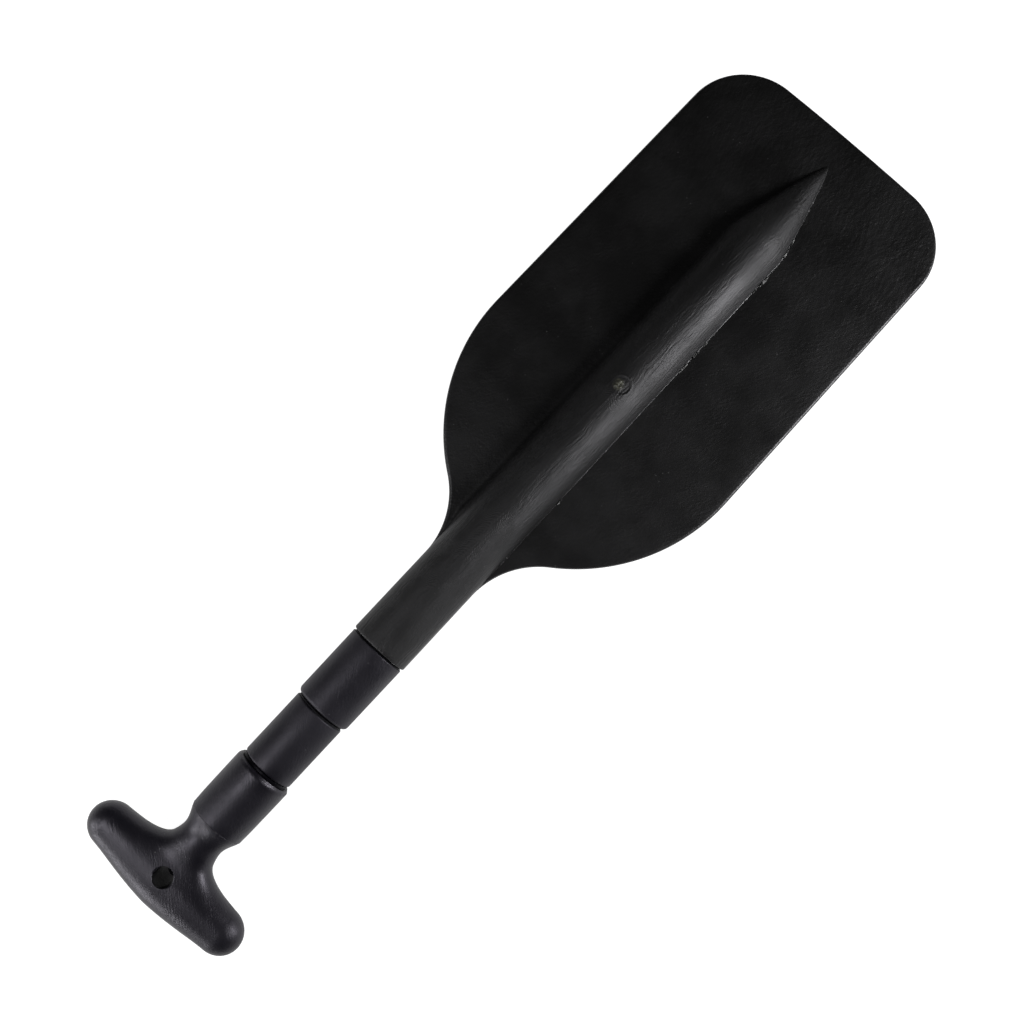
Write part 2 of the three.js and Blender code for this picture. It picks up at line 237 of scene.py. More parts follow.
def outline_at(x):
    """The outline's point and outward normal at x, between the socket and the tip's corners."""
    if x < WEB_X:
        return (x, 0), (0, 1)
    if x < WEB_END_X:
        y = WEB_Y - math.sqrt(WEB_RADIUS**2 - (x - WEB_X) ** 2)
        return (x, y), ((WEB_X - x) / WEB_RADIUS, (WEB_Y - y) / WEB_RADIUS)
    if x < SHOULDER_X:
        y = SHOULDER_Y + math.sqrt(SHOULDER_RADIUS**2 - (x - SHOULDER_X) ** 2)
        return (x, y), ((x - SHOULDER_X) / SHOULDER_RADIUS, (y - SHOULDER_Y) / SHOULDER_RADIUS)
    return (x, HALF_WIDTH), (0, 1)


def spine_radius_at(x):
    if x < TAPER_X:
        return SPINE_RADIUS
    share = min((x - TAPER_X) / (SPINE_POINT_X - TAPER_X), 1)
    return lerp(SPINE_RADIUS, HALF_THICK, share**1.15)


def tip_outline():
    """The outline's points and normals from the last of the straight side to the middle of the tip."""
    found = []
    side_x = TAPER_X + 12
    for i in range(8):
        found.append(((lerp(side_x, CORNER_X, i / 8), HALF_WIDTH), (0, 1)))
    for i in range(34):
        turn = math.pi / 2 * (1 - i / 34)
        normal = (math.cos(turn), math.sin(turn))
        found.append(((CORNER_X + CORNER_RADIUS * normal[0], CORNER_Y + CORNER_RADIUS * normal[1]), normal))
    for i in range(21):
        y = CORNER_Y * (1 - i / 20)
        bulge = TIP_BULGE * (1 - (y / CORNER_Y) ** 2)
        found.append(((CORNER_X + CORNER_RADIUS + bulge, y), (1, 0)))
    return found


def blade_quarter(fillet):
    """Quarter sections from the end of the bore, out of the socket's mouth and on to the blade's tip."""
    depth = MOUTH_X + BORE_DEPTH
    bore = [(depth, 0.01), (depth, BORE_RADIUS - 1.5), (depth - 1.5, BORE_RADIUS)]
    bore += [(MOUTH_X + 60, BORE_RADIUS), (MOUTH_X + 0.5, BORE_RADIUS), (MOUTH_X, BORE_RADIUS + 0.5)]
    lip = arc(MOUTH_X + MOUTH_ROUND, SPINE_RADIUS - MOUTH_ROUND, MOUTH_ROUND, 180, 90, 6)
    sections = [round_section(x, radius) for x, radius in bore + lip]
    x = MOUTH_X + MOUTH_ROUND
    while x < TAPER_X + 10:
        near_gate = abs(x - GATE_X) < 8
        in_web = WEB_X - 2 < x < WEB_END_X
        x += 0.4 if near_gate else 0.9 if in_web else 1.6
        sections.append(blade_section(x, spine_radius_at(x), outline_at(x), fillet))
    end = tip_outline()
    for i, edge in enumerate(end):
        spine_x = lerp(x + 1, SPINE_POINT_X, i / (len(end) - 1))
        sections.append(blade_section(spine_x, spine_radius_at(spine_x), edge, fillet))
    return sections


def gate_height(x, y):
    """How far the surface stands off the spine round the gate: a shallow dish and a torn stub in it."""
    r = math.hypot(x - GATE_X, y)
    if r > GATE_REACH:
        return 0
    uneven = 0.6 + 0.4 * math.cos(math.atan2(y, x - GATE_X) + 1.2)
    lip = 0.2 * uneven * math.exp(-(((r - 5.0) / 0.35) ** 2))
    dish = -0.4 * uneven * smooth((4.7 - r) / 0.4)
    aside = math.hypot((x - GATE_X + 0.9) * 0.8, y - 1.1)
    ragged = 2.0 + 1.5 * noise.noise(Vector((x, y, 3.1)) * 0.5)
    torn = 0.55 + 0.14 * (x - GATE_X) + 0.8 * noise.noise(Vector((x, y, 9.7)) * 0.9)
    return lip + dish + smooth((ragged - aside) / 0.45) * max(torn, 0.1)


def settle(x, y, z, spine):
    """The small errors of a moulding: the flat blade waves a little, and the gate shows on the spine."""
    off_spine = smooth((abs(y) - spine) / 18)
    z += 0.14 * off_spine * noise.noise(Vector((x / 46, y / 34, 0.4)))
    z += 0.03 * noise.noise(Vector((x / 17, y / 9, 2.2 if z > 0 else 5.2)))
    if z > HALF_THICK and x > WEB_X:
        z += gate_height(x, y)
    return x, y, z


def build_blade(material):
    fillets = {(1, 1): 6, (-1, 1): 0.35, (1, -1): 3, (-1, -1): 3}
    points = []
    faces = []
    for (side, face), fillet in fillets.items():
        sections = blade_quarter(fillet)
        count = len(sections[0])
        base = len(points)
        for i, section in enumerate(sections):
            for x, y, z in section:
                place = (x, side * y, z * face)
                points.append(place if i < BORE_ROWS else settle(*place, spine_radius_at(x)))
        for r in range(len(sections) - 1):
            for k in range(count - 1):
                here = base + r * count + k
                faces.append((here, here + 1, here + count + 1, here + count))
    return piece("blade_moulding", points, faces, "blade_body", material,
                 ["blade"], weld=True, angle=50)


def build_flash(material, torn_material):
    """The low skin of plastic left along the crease on the spine's near side, with a few torn curls."""
    step = 0.45
    points = []
    count = int((SPINE_POINT_X - 6 - WEB_X - 20) / step)
    for i in range(count):
        x = WEB_X + 20 + i * step
        radius = spine_radius_at(x)
        crease = math.sqrt(radius**2 - HALF_THICK**2)
        rough = noise.noise(Vector((x * 0.9, 1.7, 0))) + 0.5 * noise.noise(Vector((x * 2.3, 4.1, 0)))
        busy = smooth((noise.noise(Vector((x / 21, 8.8, 0))) + 0.25) * 2)
        out = 0.05 + (0.1 + 0.5 * max(rough, 0)) * busy
        tall = (0.05 + 0.3 * max(rough - 0.12, 0)) * busy
        points += [
            (x, -(crease - 0.35), HALF_THICK - 0.2),
            (x, -(crease - 0.12), HALF_THICK + tall + 0.15),
            (x, -(crease + out), HALF_THICK + 0.3 * tall),
            (x, -(crease + out), HALF_THICK - 0.2),
        ]
    faces = ring_faces(count, 4)
    faces += [(0, 1, 2, 3), tuple(4 * (count - 1) + k for k in range(4))]
    piece("crease_flash", points, faces, "blade_body", material, angle=25)

    curls = [(TAPER_X - 16, 7, 0.95), (TAPER_X - 21, 3, 0.5), (GATE_X + 28, 6, 0.5), (GATE_X + 38, 5, 0.6),
             (GATE_X + 46, 3, 0.45), (TAPER_X + 4, 5, 0.5), (TAPER_X + 11, 4, 0.45), (GATE_X - 62, 3, 0.5)]
    for number, (x, length, width) in enumerate(curls, 1):
        build_curl(f"flash_curl_{number}", x, length, width, torn_material)


def build_curl(name, start_x, length, width, material):
    """A thin curl of plastic that lies along the crease and lifts at its ends."""
    steps = 22
    points = []
    for i in range(steps + 1):
        t = i / steps
        x = start_x + length * t
        crease = math.sqrt(spine_radius_at(x) ** 2 - HALF_THICK**2)
        ripple = noise.noise(Vector((x * 1.6, start_x, 0)))
        half = 0.5 * width * math.sin(math.pi * lerp(0.06, 0.94, t)) * (1 + 0.6 * ripple)
        y = -(crease + 0.35 + 0.5 * width + 0.2 * ripple)
        lift = HALF_THICK + 0.12 + 0.5 * (2 * t - 1) ** 2 * width + 0.12 * ripple
        points += [(x, y + half, lift + 0.12), (x, y - half, lift), (x, y - half, lift - 0.3),
                   (x, y + half, lift - 0.3)]
    faces = ring_faces(steps + 1, 4)
    faces += [(0, 1, 2, 3), tuple(4 * steps + k for k in range(4))]
    piece(name, points, faces, "blade_body", material, angle=30)


# ---- T-grip --------------------------------------------------------------------------------------

GRIP_HALF_WIDTH = GRIP_HIGH.y
GRIP_MOUTH_X = GRIP_HIGH.x
GRIP_END_ROUND = 10.8
GRIP_CELL = 0.6
GRIP_BLEND = 4.5  # how far the cross bar and the neck run into each other
GRIP_SOCKET_DEPTH = 33
GRIP_NOSE = 1.4  # length of the narrower end that faces the middle collar
SHOULDER_RING_BACK = 32.7  # from the socket's mouth back to the edge where the neck's flare ends

# The neck and the socket: how far behind the mouth, half width, half thickness
NECK = [
    (62, 22, 7.5), (58, 20.4, 8.4), (55.5, 18.6, 9.1), (53.7, 16.8, 9.6), (52.1, 15, 10),
    (50.6, 13.7, 10.35), (49, 12.7, 10.6), (47.2, 12, 10.85), (45, 11.4, 11), (43, 11.1, 11.05),
    (41.4, 11.14, 11.14), (39.8, 11.45, 11.45), (38.2, 12, 12), (36.4, 12.8, 12.8), (34.4, 13.8, 13.8),
    (32.7, 14.4, 14.4), (31, 14.55, 14.55), (24, 14.78, 14.78), (4.4, 15, 15), (3.1, 14.9, 14.9),
    (2.2, 14.6, 14.6), (1.5, 14, 14), (0, 13.6, 13.6),
]


def catmull(rows, steps):
    """More rows between the given ones, on a smooth curve through them."""
    made = []
    for i in range(len(rows) - 1):
        before, a, b, after = rows[max(i - 1, 0)], rows[i], rows[i + 1], rows[min(i + 2, len(rows) - 1)]
        for s in range(steps):
            t = s / steps
            made.append([
                0.5 * (2 * q + (r - p) * t + (2 * p - 5 * q + 4 * r - w) * t**2
                       + (3 * q - p - 3 * r + w) * t**3)
                for p, q, r, w in zip(before, a, b, after)
            ])
    return made + [list(rows[-1])]


SQUARE = ((0, 0), (1, 0), (1, 1), (0, 1))


def blend(a, b, reach):
    """The lower of two fields, rounded where they are within reach of each other."""
    near = np.maximum(reach - np.abs(a - b), 0) / reach
    return np.minimum(a, b) - near * near * reach / 4


def bar_field(x, y, z):
    """Below zero inside the cross bar, whose back is a little fuller than its front."""
    straight = GRIP_HALF_WIDTH - GRIP_END_ROUND
    aside = np.abs(y)
    out = np.maximum(blend(aside / straight, np.ones_like(y), 0.3), 0)
    depth = 13.8 - 3.8 * out**1.6
    thick = 10.9 - 1.4 * out**1.6
    along = (x - GRIP_LOW.x - 14.4 - 0.4 * out) / depth
    power = np.where(along < 0, 2.2, 2.1)
    across = (np.abs(along) ** power + np.abs(z / thick) ** power) ** (1 / power)
    end = np.maximum(aside - straight, 0) / GRIP_END_ROUND
    return (np.sqrt(across**2 + end**2) - 1) * 10.5


def neck_field(x, y, z):
    """Below zero inside the neck and the socket."""
    back = GRIP_MOUTH_X - x
    rows = np.array(catmull(NECK, 6))[::-1]
    wide = np.interp(back, rows[:, 0], rows[:, 1])
    thick = np.interp(back, rows[:, 0], rows[:, 2])
    side = (np.sqrt((y / wide) ** 2 + (z / thick) ** 2) - 1) * np.minimum(wide, thick)
    return np.maximum(np.maximum(side, -back), back - NECK[0][0])


def grip_field(x, y, z):
    return blend(bar_field(x, y, z), neck_field(x, y, z), GRIP_BLEND)


def skin(field, low, high, cell):
    """Points and faces of the surface where a field is zero, with one point in each cell it crosses."""
    axes = [np.arange(low[k] - 2 * cell, high[k] + 2 * cell, cell) for k in range(3)]
    values = field(*np.meshgrid(*axes, indexing="ij"))
    cells = tuple(n - 1 for n in values.shape)
    total = np.zeros(cells + (3,))
    hits = np.zeros(cells)
    crossed = []
    for axis in range(3):
        start = np.take(values, range(values.shape[axis] - 1), axis)
        end = np.take(values, range(1, values.shape[axis]), axis)
        cross = (start < 0) != (end < 0)
        share = np.where(cross, start / np.where(cross, start - end, 1), 0)
        place = np.stack(np.indices(cross.shape), -1).astype(float)
        place[..., axis] += share
        others = [k for k in range(3) if k != axis]
        crossed.append((others, cross))
        for shifts in SQUARE:
            take = [slice(None)] * 3
            for other, shift in zip(others, shifts):
                take[other] = slice(shift, cells[other] + shift)
            here = cross[tuple(take)]
            total += place[tuple(take)] * here[..., None]
            hits += here
    used = hits > 0
    number = np.full(cells, -1)
    number[used] = np.arange(used.sum())
    points = total[used] / hits[used][:, None] * cell + np.array([a[0] for a in axes])
    faces = []
    for others, cross in crossed:
        at = np.argwhere(cross)
        corners = []
        for shifts in SQUARE:
            index = at.copy()
            for other, shift in zip(others, shifts):
                index[:, other] -= shift
            corners.append(number[tuple(index.T)])
        faces.append(np.stack(corners, -1))
    return settle_on(field, points), np.concatenate(faces).tolist()


def settle_on(field, points):
    """Moves points along a field's slope until the field is zero there."""
    small = 1e-3
    for _step in range(3):
        here = field(*points.T)
        slope = np.stack([
            field(*(points + small * axis).T) - field(*(points - small * axis).T) for axis in np.eye(3)
        ], -1) / (2 * small)
        points = points - (here / np.maximum((slope**2).sum(1), 1e-6))[:, None] * slope
    return points.tolist()


def raw_object(name, points, faces):
    """One closed skin as an object, in place but not yet finished."""
    mesh = bpy.data.meshes.new(name)
    mesh.from_pydata([(x * MM, y * MM, (z + AXIS_Z) * MM) for x, y, z in points], [], faces)
    work = bmesh.new()
    work.from_mesh(mesh)
    bmesh.ops.remove_doubles(work, verts=work.verts, dist=1e-4 * MM)
    bmesh.ops.recalc_face_normals(work, faces=work.faces)
    work.to_mesh(mesh)
    work.free()
    made = bpy.data.objects.new(name, mesh)
    bpy.context.scene.collection.objects.link(made)
    return made


def cut(target, points, faces, place):
    """Takes one closed skin, put in its place, out of an object's mesh."""
    cutter = raw_object("cutter", points, faces)
    cutter.matrix_world = place
    modifier = target.modifiers.new("cut", "BOOLEAN")
    modifier.operation = "DIFFERENCE"
    modifier.solver = "EXACT"
    modifier.object = cutter
    bpy.context.view_layer.update()
    evaluated = target.evaluated_get(bpy.context.evaluated_depsgraph_get())
    mesh = bpy.data.meshes.new_from_object(evaluated)
    target.modifiers.clear()
    target.data = mesh
    bpy.data.objects.remove(cutter)


def build_grip(material):
    """The cross bar, neck and socket in one skin, with the tube's bore, the nose and the lanyard hole cut."""
    low = (GRIP_LOW.x, -GRIP_HALF_WIDTH, -16)
    high = (GRIP_MOUTH_X, GRIP_HALF_WIDTH, 16)
    body = raw_object("t_grip_moulding", *skin(grip_field, low, high, GRIP_CELL))
    tube = TUBE_RADIUS["inner"] + RUNNING_GAP
    past_mouth = GRIP_MOUTH_X + 3
    socket = [(GRIP_MOUTH_X - GRIP_SOCKET_DEPTH, tube), (GRIP_MOUTH_X - 0.5, tube)]
    socket += [(GRIP_MOUTH_X, tube + 0.5), (past_mouth, tube + 0.5)]
    cut(body, *turned_solid(socket, 96), Matrix.Identity(4))
    nose = GRIP_MOUTH_X - GRIP_NOSE
    around = [(nose, 12.9), (nose, 20), (past_mouth, 20), (past_mouth, 12.7)]
    cut(body, *turned(around, 160), Matrix.Identity(4))

    upright = Matrix.Rotation(-math.pi / 2, 4, "Y") @ Matrix.Translation((0, 0, -AXIS_Z * MM))
    hole = LANYARD_HOLE_RADIUS
    drill = [(-20, hole - 0.8), (-9, hole - 0.8), (9, hole - 0.25), (20, hole - 0.25)]
    at_hole = Matrix.Translation((LANYARD_HOLE_X * MM, 0, AXIS_Z * MM))
    cut(body, *turned_solid(drill, 96), at_hole @ upright)
    # The broken edge at the top follows the slope of the bar's face there.
    at_rim = Matrix.Translation((LANYARD_HOLE_X * MM, 0, (AXIS_Z + LANYARD_HOLE_TOP) * MM))
    sink = [(-0.6, hole - 0.8), (0, hole), (3, hole + 4.05)]
    cut(body, *turned_solid(sink, 96), at_rim @ Matrix.Rotation(LANYARD_HOLE_SLOPE, 4, "Y") @ upright)
    finish_piece(body, "handle", material, ["t_grip"], angle=32)

    ring = arc(GRIP_MOUTH_X - SHOULDER_RING_BACK, 14.36, 0.16, 0, 330, 11)
    points, faces = turned(ring, 160)
    piece("grip_shoulder_edge", points, faces, "handle", material, angle=60)


# ---- Collars and tubes ---------------------------------------------------------------------------


COLLAR_NOSE = {"outer": 0.7, "middle": 0.9}  # length of the narrower end that faces the next part


def collar_nose(stage):
    return box_mm(f"{stage}_collar")[1].x - COLLAR_NOSE[stage]


def build_collar(stage, next_stage, back_radius, front_radius, back_round, front_round, material):
    """A sleeve over a tube's end, with a wall at its back that guides the next tube."""
    low, high = box_mm(f"{stage}_collar")
    sleeve = TUBE_RADIUS[stage] + RUNNING_GAP
    guide = TUBE_RADIUS[next_stage] + RUNNING_GAP
    shoulder = collar_nose(stage)
    profile = arc(low.x + back_round, back_radius - back_round, back_round, 180, 90, 8)
    for t in (0.2, 0.4, 0.6, 0.8):
        profile.append((lerp(low.x, shoulder, t), lerp(back_radius, front_radius, t)))
    profile += arc(shoulder - front_round, front_radius - front_round, front_round, 90, 0, 6)
    nose = front_radius - 0.8
    chamfer = 0.15
    profile += [(shoulder, nose), (high.x - chamfer, nose), (high.x, nose - chamfer)]
    profile += [(high.x, sleeve + chamfer), (high.x - chamfer, sleeve), (low.x + COLLAR_LIP, sleeve)]
    profile += [(low.x + COLLAR_LIP, guide), (low.x + 0.5, guide), (low.x, guide + 0.5)]
    points, faces = turned(profile, 160)
    piece(f"{stage}_collar_moulding", points, faces, f"{stage}_section", material,
          [f"{stage}_collar"], angle=35)


def build_tube(stage, body, material):
    """A drawn tube with its ends broken to a small chamfer."""
    low, high = box_mm(f"{stage}_tube")
    outside = TUBE_RADIUS[stage]
    inside = outside - TUBE_WALL
    chamfer = 0.25
    along = [lerp(low.x + chamfer, high.x - chamfer, t / 24) for t in range(25)]
    profile = [(low.x, outside - chamfer)] + [(x, outside) for x in along]
    profile += [(high.x, outside - chamfer), (high.x, inside + chamfer)]
    profile += [(x, inside) for x in reversed(along)] + [(low.x, inside + chamfer)]
    points, faces = turned(profile, 128)
    piece(f"{stage}_drawn_tube", points, faces, body, material, [f"{stage}_tube"], angle=35)


# ---- Shader parts --------------------------------------------------------------------------------


def new_group(name, inputs, outputs):
    """A shader node group with float or vector inputs, given as name: default."""
    group = bpy.data.node_groups.new(name, "ShaderNodeTree")
    for key, default in inputs.items():
        kind = "NodeSocketVector" if isinstance(default, tuple) else "NodeSocketFloat"
        made = group.interface.new_socket(name=key, in_out="INPUT", socket_type=kind)
        made.default_value = default
    for key in outputs:
        group.interface.new_socket(name=key, in_out="OUTPUT", socket_type="NodeSocketFloat")
    return group, group.nodes.new("NodeGroupInput"), group.nodes.new("NodeGroupOutput")


class Nodes:
    """Short ways to add nodes to one tree. A value given as a socket is linked, and as a number is set."""

    def __init__(self, tree):
        self.tree = tree

    def put(self, socket, value):
        if isinstance(value, bpy.types.NodeSocket):
            self.tree.links.new(value, socket)
        else:
            socket.default_value = value

    def node(self, kind, settings=None, **inputs):
        made = self.tree.nodes.new(kind)
        for key, value in (settings or {}).items():
            setattr(made, key, value)
        for key, value in inputs.items():
            self.put(made.inputs[key.replace("_", " ")], value)
        return made

    def math(self, operation, a, b=0.0):
        made = self.tree.nodes.new("ShaderNodeMath")
        made.operation = operation
        self.put(made.inputs[0], a)
        self.put(made.inputs[1], b)
        return made.outputs[0]

    def add(self, a, b):
        return self.math("ADD", a, b)

    def times(self, a, b):
        return self.math("MULTIPLY", a, b)

    def span(self, value, low, high, out_low=0.0, out_high=1.0):
        """value taken from low..high to out_low..out_high, smoothly and held at the ends."""
        made = self.node("ShaderNodeMapRange", {"interpolation_type": "SMOOTHSTEP"})
        self.put(made.inputs["Value"], value)
        for key, number in (("From Min", low), ("From Max", high), ("To Min", out_low), ("To Max", out_high)):
            self.put(made.inputs[key], number)
        return made.outputs["Result"]

    def scaled(self, vector, scale, turn=(0, 0, 0)):
        """A position stretched by scale, and turned first."""
        made = self.node("ShaderNodeMapping", {"vector_type": "TEXTURE"})
        self.put(made.inputs["Vector"], vector)
        made.inputs["Rotation"].default_value = turn
        made.inputs["Scale"].default_value = [1 / part for part in scale]
        return made.outputs["Vector"]

    def warped(self, vector, scale, reach):
        """A position pushed about by a slow noise, so that lines drawn from it wander."""
        drift = self.node("ShaderNodeTexNoise", Vector=vector, Scale=scale, Detail=2.0)
        centred = self.node("ShaderNodeVectorMath", {"operation": "SUBTRACT"})
        self.put(centred.inputs[0], drift.outputs["Color"])
        centred.inputs[1].default_value = (0.5, 0.5, 0.5)
        pushed = self.node("ShaderNodeVectorMath", {"operation": "MULTIPLY_ADD"})
        self.put(pushed.inputs[0], centred.outputs["Vector"])
        pushed.inputs[1].default_value = (reach, reach, reach)
        self.put(pushed.inputs[2], vector)
        return pushed.outputs["Vector"]

    def noise(self, vector, scale, detail=2.0, rough=0.5):
        made = self.node("ShaderNodeTexNoise", Vector=vector, Scale=scale, Detail=detail, Roughness=rough)
        return made.outputs["Fac"]


def make_streaks():
    """Fine lines drawn out along one direction, as a mould's polishing or a drawn tube leaves them."""
    defaults = {"Position": (0, 0, 0), "Scale": 900.0, "Depth": 1.0}
    group, given, out = new_group("streaks", defaults, ["Height"])
    n = Nodes(group)
    lines = n.noise(given.outputs["Position"], given.outputs["Scale"], 3.0, 0.6)
    broken = n.noise(given.outputs["Position"], 160.0, 1.0)
    height = n.times(n.math("SUBTRACT", lines, 0.5), n.span(broken, 0.35, 0.65, 0.35, 1.0))
    n.put(out.inputs["Height"], n.times(height, given.outputs["Depth"]))
    return group


def make_contours():
    """Nested bows like the ridges of a fingerprint, in patches. Pitch and bow are counts for each metre."""
    defaults = {"Position": (0, 0, 0), "Pitch": 800.0, "Bow": 160000.0, "Wander": 5.0, "Depth": 1.0}
    group, given, out = new_group("contours", defaults, ["Height"])
    n = Nodes(group)
    parts = n.node("ShaderNodeSeparateXYZ", Vector=given.outputs["Position"])
    wander = n.times(n.noise(given.outputs["Position"], 45.0, 2.0, 0.4), given.outputs["Wander"])
    bowed = n.times(n.times(parts.outputs["Y"], parts.outputs["Y"]), given.outputs["Bow"])
    phase = n.add(n.add(n.times(parts.outputs["X"], given.outputs["Pitch"]), bowed), wander)
    patch = n.span(n.noise(given.outputs["Position"], 48.0, 1.0), 0.4, 0.56)
    ridges = n.times(n.math("SINE", n.times(phase, 2 * math.pi)), patch)
    n.put(out.inputs["Height"], n.times(ridges, given.outputs["Depth"]))
    return group


def make_grain():
    """The pebbled skin of moulded plastic, with shallow flow patches."""
    defaults = {"Position": (0, 0, 0), "Scale": 1500.0, "Depth": 1.0}
    group, given, out = new_group("grain", defaults, ["Height", "Patches"])
    n = Nodes(group)
    fine = n.noise(given.outputs["Position"], given.outputs["Scale"], 2.0, 0.6)
    coarse = n.noise(given.outputs["Position"], n.times(given.outputs["Scale"], 0.3), 2.0, 0.5)
    patches = n.noise(given.outputs["Position"], 38.0, 3.0, 0.55)
    mixed = n.add(n.times(fine, 0.6), n.times(coarse, 0.4))
    height = n.times(n.math("SUBTRACT", mixed, 0.5), n.span(patches, 0.3, 0.7, 0.6, 1.0))
    n.put(out.inputs["Height"], n.times(height, given.outputs["Depth"]))
    n.put(out.inputs["Patches"], patches)
    return group


def make_wear():
    """Masks for pale dust specks and for rubbed edges."""
    defaults = {"Position": (0, 0, 0), "Specks": 0.5, "Edges": 0.5}
    group, given, out = new_group("wear", defaults, ["Specks", "Edges"])
    n = Nodes(group)
    cells = n.node("ShaderNodeTexVoronoi", Vector=given.outputs["Position"], Scale=420.0)
    rare = n.span(n.noise(given.outputs["Position"], 130.0, 1.0), 0.62, 0.72)
    dots = n.span(cells.outputs["Distance"], 0.16, 0.06)
    n.put(out.inputs["Specks"], n.times(n.times(dots, rare), given.outputs["Specks"]))
    pointed = n.node("ShaderNodeNewGeometry").outputs["Pointiness"]
    ragged = n.noise(given.outputs["Position"], 700.0, 2.0)
    rubbed = n.span(n.add(pointed, n.times(ragged, 0.06)), 0.55, 0.66)
    n.put(out.inputs["Edges"], n.times(rubbed, given.outputs["Edges"]))
    return group


STREAKS = make_streaks()
CONTOURS = make_contours()
GRAIN = make_grain()
WEAR = make_wear()


def new_material(name, rough, metallic=0.0, level=0.5, tint=(1, 1, 1)):
    """A material with its own Principled shader, whose constants sit on the shader's sockets."""
    made = bpy.data.materials.new(name)
    made.use_nodes = True
    n = Nodes(made.node_tree)
    shader = made.node_tree.nodes["Principled BSDF"]
    shader.inputs["Roughness"].default_value = rough
    shader.inputs["Metallic"].default_value = metallic
    shader.inputs["Specular IOR Level"].default_value = level
    shader.inputs["Specular Tint"].default_value = (*tint, 1)
    position = n.node("ShaderNodeTexCoord").outputs["Object"]
    return made, n, shader, position


def use(n, group, **inputs):
    """Places a shader node group in a tree and gives its outputs."""
    made = n.tree.nodes.new("ShaderNodeGroup")
    made.node_tree = group
    for key, value in inputs.items():
        n.put(made.inputs[key], value)
    return made.outputs


def mix_colours(n, share, a, b):
    made = n.node("ShaderNodeMix", {"data_type": "RGBA"})
    n.put(made.inputs["Factor"], share)
    n.put(made.inputs["A"], a)
    n.put(made.inputs["B"], b)
    return made.outputs["Result"]


def bump(n, shader, height, depth_mm):
    made = n.node("ShaderNodeBump", Strength=1.0, Distance=depth_mm * MM, Height=height)
    n.put(shader.inputs["Normal"], made.outputs["Normal"])


def near_plane(n, position, axis, at_mm, half_mm):
    """1 on a plane across one axis, falling to 0 at half_mm from it."""
    parts = n.node("ShaderNodeSeparateXYZ", Vector=position)
    off = n.math("ABSOLUTE", n.math("SUBTRACT", parts.outputs[axis], at_mm * MM))
    return n.span(off, half_mm * MM, 0.0)


def in_circle(n, position, x_mm, y_mm, radius_mm, edge_mm=0.1):
    """1 inside an upright cylinder, falling to 0 over its edge."""
    parts = n.node("ShaderNodeSeparateXYZ", Vector=position)
    along = n.math("SUBTRACT", parts.outputs["X"], x_mm * MM)
    across = n.math("SUBTRACT", parts.outputs["Y"], y_mm * MM)
    squared = n.add(n.times(along, along), n.times(across, across))
    return n.span(n.math("SQRT", squared), (radius_mm + edge_mm) * MM, (radius_mm - edge_mm) * MM)


def blade_plastic():
    """Warm black. The spine is drawn with lengthwise lines and loops, and the flat blade is leathery."""
    made, n, shader, position = new_material("blade_plastic", 0.5, level=0.46, tint=(0.97, 0.96, 1.0))
    parts = n.node("ShaderNodeSeparateXYZ", Vector=position)
    height_off = n.math("ABSOLUTE", n.math("SUBTRACT", parts.outputs["Z"], AXIS_Z * MM))
    on_spine = n.span(height_off, 2.2 * MM, 5 * MM)
    on_top = n.span(height_off, 7 * MM, 12 * MM)
    to_tip = n.span(parts.outputs["X"], (TIP_X - 130) * MM, (TIP_X - 10) * MM)
    warped = n.warped(position, 60.0, 0.004)
    lengthwise = n.scaled(warped, (0.12, 1.0, 1.0))
    streaks = use(n, STREAKS, Position=lengthwise, Scale=820.0, Depth=2.8)["Height"]
    loops = use(n, CONTOURS, Position=position, Pitch=620.0, Depth=0.16)
    behind_gate = n.span(parts.outputs["X"], (GATE_X - 2) * MM, (GATE_X - 8) * MM)
    grain = use(n, GRAIN, Position=position, Scale=1500.0, Depth=0.55)
    slanted = n.scaled(warped, (0.4, 0.8, 1.0), (0, 0, -0.5))
    leather = use(n, STREAKS, Position=slanted, Scale=900.0, Depth=0.95)["Height"]
    drawn = n.noise(n.scaled(warped, (0.5, 0.9, 1), (0, 0, 0.3)), 520.0)
    flow = n.times(n.math("SUBTRACT", drawn, 0.5), to_tip)
    on_face = n.math("SUBTRACT", 1.0, on_spine)
    lines = n.add(n.times(streaks, on_spine), n.times(loops["Height"], n.times(on_top, behind_gate)))
    plate = n.times(n.add(leather, n.times(flow, 1.2)), on_face)
    bump(n, shader, n.add(grain["Height"], n.add(lines, plate)), 0.2)
    wear = use(n, WEAR, Position=position, Specks=0.45, Edges=0.3)
    black = mix_colours(n, grain["Patches"], (0.0016, 0.0016, 0.0015, 1), (0.0026, 0.0026, 0.0025, 1))
    worn = mix_colours(n, wear["Edges"], black, (0.04, 0.04, 0.04, 1))
    dusty = mix_colours(n, wear["Specks"], worn, (0.10, 0.10, 0.10, 1))
    stub = in_circle(n, position, GATE_X - 0.7, 1.0, 2.8, 0.7)
    torn = n.times(stub, n.times(on_top, n.span(n.noise(position, 900.0), 0.35, 0.6, 0.3, 1.0)))
    n.put(shader.inputs["Base Color"], mix_colours(n, torn, dusty, (0.050, 0.050, 0.034, 1)))
    patchy = n.span(grain["Patches"], 0.3, 0.7, -0.04, 0.05)
    n.put(shader.inputs["Roughness"], n.add(n.span(on_spine, 0.0, 1.0, 0.42, 0.56), patchy))
    return made


